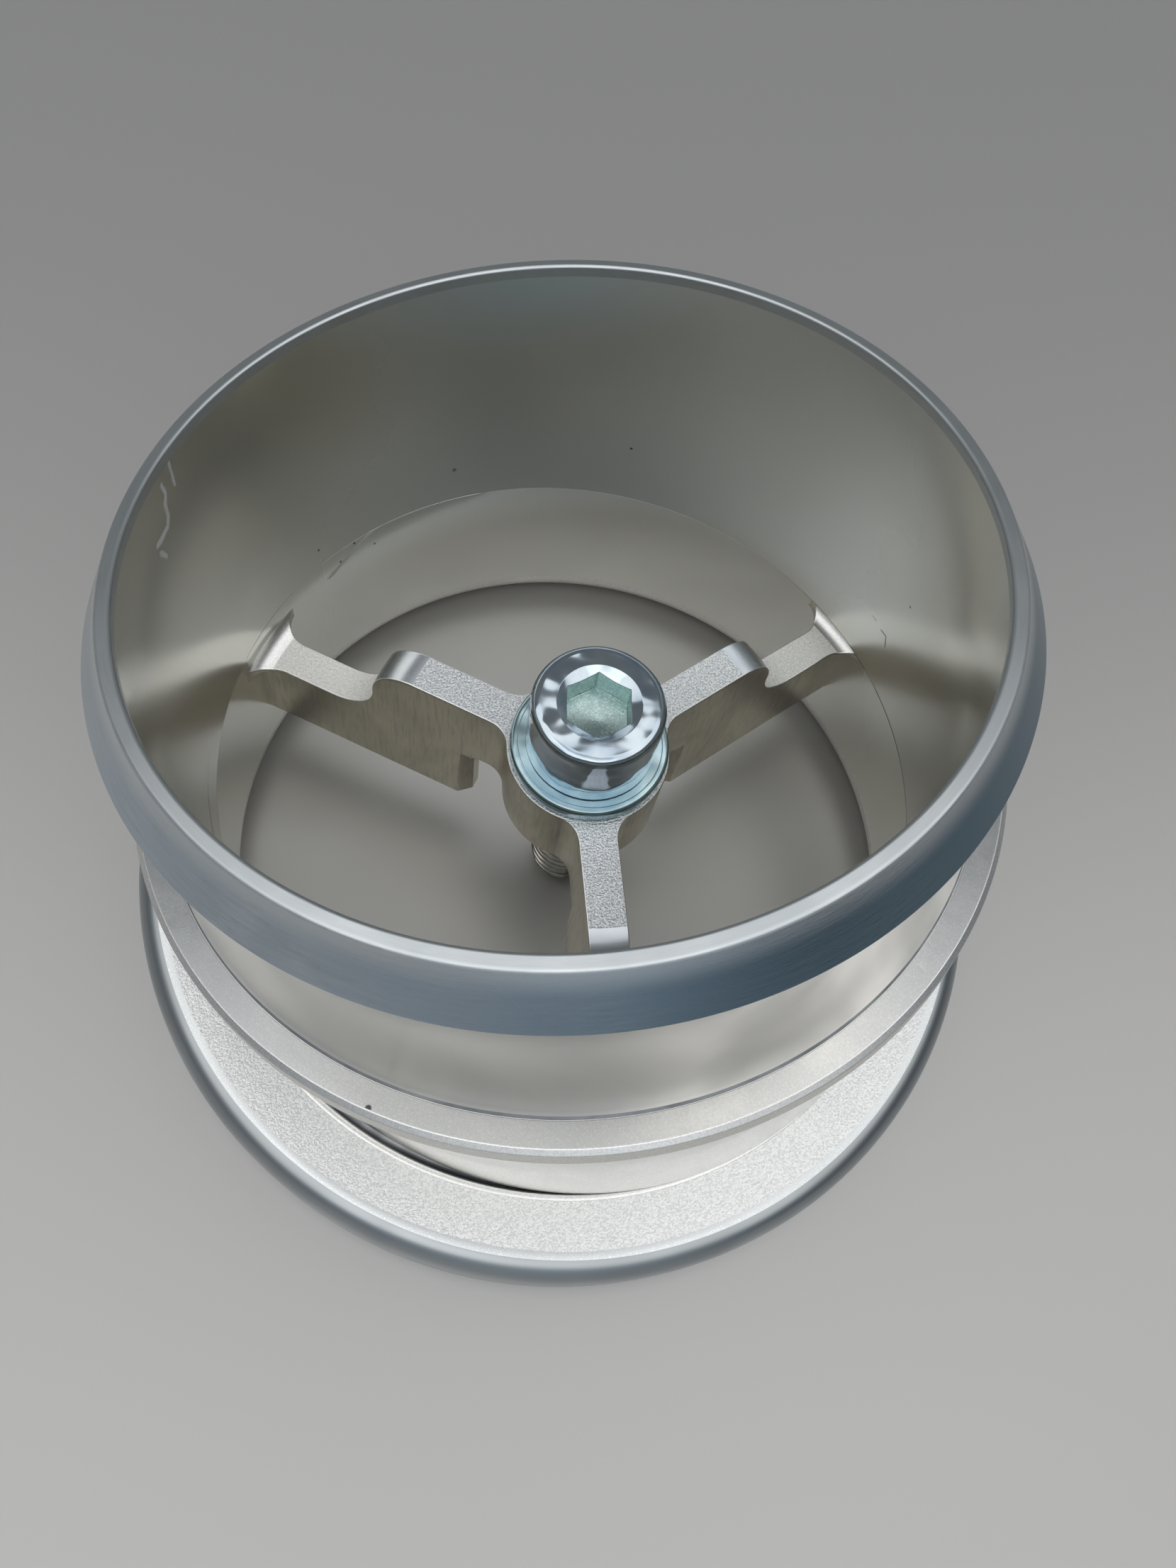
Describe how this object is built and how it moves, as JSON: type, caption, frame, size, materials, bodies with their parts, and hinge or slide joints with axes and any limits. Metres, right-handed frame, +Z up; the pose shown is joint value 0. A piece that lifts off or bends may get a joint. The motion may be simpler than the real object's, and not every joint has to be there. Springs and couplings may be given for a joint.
{
  "type": "flanged duct elbow",
  "caption": "Short machined duct elbow: round flanged foot, slightly leaning hose spigot with collar and beaded lip, and an inner spider whose hub holds a socket screw.",
  "frame": {"origin": "centre of the flange's underside, which lies on what the part stands on", "axes": "+Z up along the foot's axis, through the hub and the screw; the spigot leans from +Z towards -X and +Y"},
  "size_m": [0.0984, 0.0984, 0.0635],
  "materials": {
    "body": "turned and bead-blasted",
    "washer": "bright zinc plated",
    "screw": "bright zinc plated"
  },
  "bodies": {
    "root": {"body": "body", "washer": "washer", "screw": "screw"}
  },
  "joints": []
}
